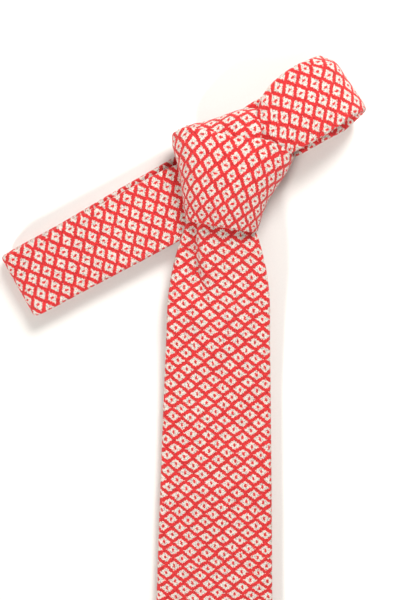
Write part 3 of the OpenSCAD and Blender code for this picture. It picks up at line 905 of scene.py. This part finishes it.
def unrolled(grid, uv, bend, lean):
    """Cloth coordinates for a strip that runs over a rounded form: true lengths from its middle row.

    bend is the radius of the strip's own sideways curve and lean turns the pattern, in radians.
    """
    cols = uv.shape[1]
    crest, reach = grid.shape[0] // 2, grid.shape[0] // 5
    steps = np.linalg.norm(np.diff(grid, axis=0), axis=2)
    run = np.concatenate([np.zeros((1, cols)), np.cumsum(steps, axis=0)])
    run = run - run[crest:crest + 1]
    chord = grid[crest + reach] - grid[crest - reach]
    heading = np.arctan2(chord[:, Y], chord[:, X])
    fall = grid[crest, 2 * cols // 3] - grid[crest, cols // 3]
    fall_heading = math.atan2(fall[Y], fall[X])
    down = uv[crest, :, 1]
    px = down * math.cos(fall_heading) + run * np.cos(heading)
    py = down * math.sin(fall_heading) + run * np.sin(heading)
    c, k = math.cos(lean), math.sin(lean)
    dx, dy = px * c - py * k, px * k + py * c + bend
    return np.stack([bend * np.arctan2(dx, dy), np.hypot(dx, dy) - bend], axis=2)


WRAP_HALF = 24.5
WRAP_BEND = 150.0
WRAP_LEAN = math.radians(12)


def wrap_cloth_place(grid, uv):
    return unrolled(grid, uv, WRAP_BEND, WRAP_LEAN)


front_turns = np.linspace(-2.2, 2.2, 88)
wrap = folded_strip("knot_front_wrap_cloth", wrap_surface(front_turns), np.full(len(front_turns), WRAP_HALF),
                    KNOT_T, SEAM, front=60, uv_of=wrap_cloth_place, scale=(0.90, 0.98))
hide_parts("knot_front_wrap")
felt_turns = np.linspace(-1.5, 1.5, 50)
felt_share = np.linspace(-0.86, 0.86, 24)[None, :] + np.zeros((len(felt_turns), 1))
wrap_felt = slab("knot_front_felt", wrap_surface(felt_turns), felt_share, KNOT_FELT_T, FELT)
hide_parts("knot_front_interlining")
back_turns = np.linspace(2.3, 2 * math.pi - 2.3, 40)
back_wrap = folded_strip("knot_back_wrap_cloth", wrap_surface(back_turns),
                         np.full(len(back_turns), WRAP_HALF), BACK_WRAP_T, SEAM, front=40)
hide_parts("knot_back_wrap")

# the last pass against x: how far up its top reaches, and its height
pass_top_y = curve([-27, -20, -14, -6, 2, 10, 16], [18.9, 20.6, 21.8, 24.2, 27.2, 28.4, 27.0])
pass_height = curve([-27, -22, -16, -8, 4, 12, 18], [16.0, 21.0, 27.0, 29.6, 30.8, 30.0, 27.0])
PASS_MIDDLE = (-4.8, 10.0)
PASS_REACH = 19.4         # how far its surface runs either way
PASS_HALF = 19.8          # half the width of its cloth


def pass_surface(turns):
    """The last pass: up from the back, over the neck loop, and down behind the front wrap."""
    turn = np.asarray(turns)[:, None]

    def at(v):
        x = PASS_MIDDLE[0] + PASS_REACH * v
        c, s = np.cos(turn), np.sin(turn)
        y = PASS_MIDDLE[1] + np.where(s > 0, (pass_top_y(x) - PASS_MIDDLE[1]) * s, 16.0 * s)
        z = KNOT_MIDDLE_Z + np.where(c > 0, pass_height(x) - 17.0, 10.0) * np.sign(c) * np.abs(c) ** 0.9
        x = x + 1.5 * s
        z = z + 0.3 * ripple(x, y, 12, 24)
        return np.stack([x, y, z], axis=2)

    return at


pass_turns = np.linspace(-0.45, 2.4, 64)
top_pass = folded_strip("knot_top_pass_cloth", pass_surface(pass_turns), np.full(len(pass_turns), PASS_HALF),
                        KNOT_T, SEAM, front=54, turn=-8.0)
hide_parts("knot_top_pass")


def inner_pass(name, node, path, half, along, across):
    """A strip of the knot that the others cover. path rows: distance along, sideways offset, height."""
    rows = smooth_path([(s, side, z, half, 0, 0) for s, side, z in path], 1.5)
    piece = folded_strip(name, band_surface(rows, along, across), rows[:, 3], INNER_T, SEAM, front=24)
    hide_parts(node)
    declare_cut(rows[:, [0, 1, 2]], rows[:, 3], SEAM)
    return piece


UP_ALONG, UP_ACROSS = np.array([0, 1.0, 0]), np.array([1.0, 0, 0])
up_pass = inner_pass("knot_up_pass_cloth", "knot_up_pass", [(-11, -3, 14.9), (3, -3, 16.5), (17, -3, 18.3)],
                     10.5, UP_ALONG, UP_ACROSS)
blade_pass = inner_pass("knot_blade_pass_cloth", "knot_blade_pass",
                        [(-18, -3.5, 20.6), (-8, -3.5, 24.6), (2, -3.5, 26.2), (12, -3.5, 26.0)],
                        8.0, UP_ALONG, UP_ACROSS)
first_turn = inner_pass("knot_first_turn_cloth", "knot_first_turn",
                        [(-8, -1, 11.2), (4, -1, 11.2), (17, -1, 11.2)],
                        10.5, LEFT_ALONG, LEFT_ACROSS)

# ---------------------------------------------------------------- which body each piece rides on

RIDES = {
    "knot": [wrap, wrap_felt, back_wrap, top_pass, up_pass, blade_pass, first_turn],
    "tail": [tail, tail_felt, tail_tip, tail_stitch, tail_tack],
    "blade_upper": [upper_stitch, keeper, label, label_sewing],
    "blade_lower": [lower_stitch, blade_tip, blade_tack, care, care_sewing],
    "loop_left": [left_stitch],
    "loop_right": [right_stitch],
}
for body, members in RIDES.items():
    for piece in members:
        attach(piece, body)

# cloth that runs from one body to the next: its place is baked into its mesh, and it rides on no body
for piece in (blade_upper, blade_felt):
    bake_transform(piece)
for piece in (blade_lower, lower_felt):
    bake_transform(piece)
for piece in (left_cloth, left_felt):
    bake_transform(piece)
for piece in (right_cloth, right_felt):
    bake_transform(piece)

# ---------------------------------------------------------------- table, light and camera

SPREAD = 30000            # far enough that the table's edge never shows
TABLE_Z = -0.02
corners = ((-SPREAD, -SPREAD), (SPREAD, -SPREAD), (SPREAD, SPREAD), (-SPREAD, SPREAD))
table = make_mesh("table", [(x, y, TABLE_Z) for x, y in corners], [[0, 1, 2, 3]], None, backdrop_paper())


def soft_light(name, kind, place, aim, spread, power, colour):
    """A light at place, turned to aim.

    spread is a far SUN's apparent width in degrees, or a near AREA's side in metres.
    """
    lamp = bpy.data.lights.new(name, kind)
    if kind == "SUN":
        lamp.angle = math.radians(spread)
    else:
        lamp.size = spread
    lamp.energy = power
    lamp.color = colour
    holder = bpy.data.objects.new(name, lamp)
    holder.location = place
    holder.rotation_euler = (Vector(aim) - Vector(place)).to_track_quat("-Z", "Y").to_euler()
    bpy.context.scene.collection.objects.link(holder)


DAYLIGHT = (1.0, 0.985, 0.96)
WARMER = (1.0, 0.975, 0.94)
soft_light("main_light", "SUN", place=(0.17, 0.45, 0.42), aim=(0.0, 0.0, 0.0), spread=19, power=2,
           colour=DAYLIGHT)
soft_light("near_light", "AREA", place=(0.17, 0.36, 0.34), aim=(0.02, 0.02, 0.0), spread=0.2, power=1.6,
           colour=DAYLIGHT)
soft_light("second_light", "SUN", place=(-0.45, -0.75, 0.44), aim=(-0.01, -0.1, 0.0), spread=8, power=2.5,
           colour=WARMER)

world = bpy.data.worlds.new("studio")
world.use_nodes = True
sky = world.node_tree.nodes["Background"]
sky.inputs["Color"].default_value = rgb(1.0, 0.975, 0.93)
sky.inputs["Strength"].default_value = 0.4
bpy.context.scene.world = world
bpy.context.scene.view_settings.view_transform = "Standard"

camera = bpy.data.cameras.new("camera")
camera.sensor_fit = "HORIZONTAL"
camera.sensor_width = 36
camera.lens = 86.7
camera.clip_start = 0.01
eye = bpy.data.objects.new("camera", camera)
eye.location = (-0.0151, -0.0068, 0.516)
eye.rotation_euler = (math.radians(-7), 0, 0)
bpy.context.scene.collection.objects.link(eye)
bpy.context.scene.camera = eye
